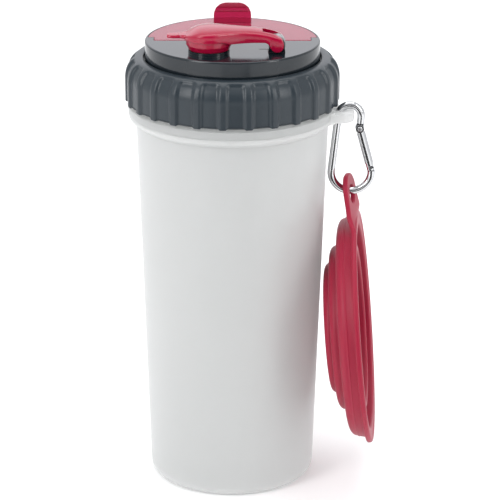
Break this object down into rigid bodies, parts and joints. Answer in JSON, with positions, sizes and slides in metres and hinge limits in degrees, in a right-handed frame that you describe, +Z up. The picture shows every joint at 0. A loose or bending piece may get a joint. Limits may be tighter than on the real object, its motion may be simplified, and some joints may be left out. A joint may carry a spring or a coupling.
{
  "type": "dog travel water bottle",
  "caption": "Tapered two-chamber travel bottle with a screw collar, a lid with food flap and flip spout, and a folding bowl hung from a carabiner.",
  "frame": {"origin": "centre of the bottle's base", "axes": "+Z up through the lid, -Y to the front where the spout is, +X to the side that carries the lug, the carabiner and the bowl"},
  "size_m": [0.1326, 0.1286, 0.2482],
  "materials": {
    "milky_plastic": "milky translucent polypropylene with a satin skin",
    "grey_plastic": "satin moulded dark grey",
    "grey_gloss": "glossy dark grey",
    "white_silicone": "soft matte silicone",
    "red_clear": "translucent red, glossy",
    "red_plastic": "red, semi-gloss",
    "polished_metal": "bright plated",
    "steel_pin": "plain steel",
    "red_silicone": "matte silicone"
  },
  "bodies": {
    "bottle": {"bottle_body": "milky_plastic"},
    "lid": {"lid_plate": "grey_gloss", "lid_gasket": "white_silicone", "arm_pin": "steel_pin"},
    "collar": {"screw_collar": "grey_plastic"},
    "flap": {"food_flap": "red_clear", "flap_seal": "white_silicone"},
    "arm": {"spout_arm": "red_plastic", "spout_plug": "white_silicone"},
    "carabiner": {"carabiner_body": "polished_metal", "gate_pivot_rivet": "steel_pin", "nose_pin": "steel_pin"},
    "gate": {"carabiner_gate": "polished_metal", "gate_spring": "steel_pin", "gate_plunger": "steel_pin"},
    "bowl": {"bowl_rim": "red_silicone", "bowl_fold_outer": "red_silicone"},
    "bowl_step": {"bowl_step": "red_silicone", "bowl_fold_inner": "red_silicone"},
    "bowl_base": {"bowl_base": "red_silicone"}
  },
  "joints": [
    {"name": "lid_lift", "type": "slide", "parent": "bottle", "child": "lid", "axis": [0, 0, 1], "range_m": [0, 0.0051]},
    {"name": "collar_turn", "type": "hinge", "parent": "lid", "child": "collar", "pos_m": [0, 0, 0.2234], "axis": [0, 0, 1], "range_deg": [0, 450]},
    {"name": "flap_hinge", "type": "hinge", "parent": "lid", "child": "flap", "pos_m": [0, -0.0015, 0.23545], "axis": [1, 0, 0], "range_deg": [0, 95]},
    {"name": "arm_hinge", "type": "hinge", "parent": "lid", "child": "arm", "pos_m": [0.0221, -0.0227, 0.2407], "axis": [0, 1, 0], "range_deg": [0, 130]},
    {"name": "carabiner_swing", "type": "hinge", "parent": "bottle", "child": "carabiner", "pos_m": [0.0596, -0.01224, 0.19955], "axis": [0, -1, 0], "range_deg": [0, 75]},
    {"name": "gate_hinge", "type": "hinge", "parent": "carabiner", "child": "gate", "pos_m": [0.06481, -0.01224, 0.19317], "axis": [0, 1, 0], "range_deg": [0, 20], "stiffness_Nm_per_rad": 0.004, "springref_deg": -17.19},
    {"name": "bowl_swing", "type": "hinge", "parent": "carabiner", "child": "bowl", "pos_m": [0.06085, -0.01224, 0.16985], "axis": [0, -1, 0], "range_deg": [0, 60]},
    {"name": "step_slide", "type": "slide", "parent": "bowl", "child": "bowl_step", "axis": [-0.9921, 0.0833, -0.0941], "range_m": [0, 0.0171], "deforming": ["bowl_fold_outer", "bowl_fold_inner"]},
    {"name": "base_slide", "type": "slide", "parent": "bowl_step", "child": "bowl_base", "axis": [-0.9921, 0.0833, -0.0941], "range_m": [0, 0.0171], "deforming": ["bowl_fold_inner"]}
  ],
  "couplings": [
    {"joint": "lid_lift", "follows": "collar_turn", "m_per_rad": 0.00063662},
    {"joint": "step_slide", "follows": "bowl_swing", "m_per_rad": 0.016234},
    {"joint": "base_slide", "follows": "bowl_swing", "m_per_rad": 0.016234}
  ]
}
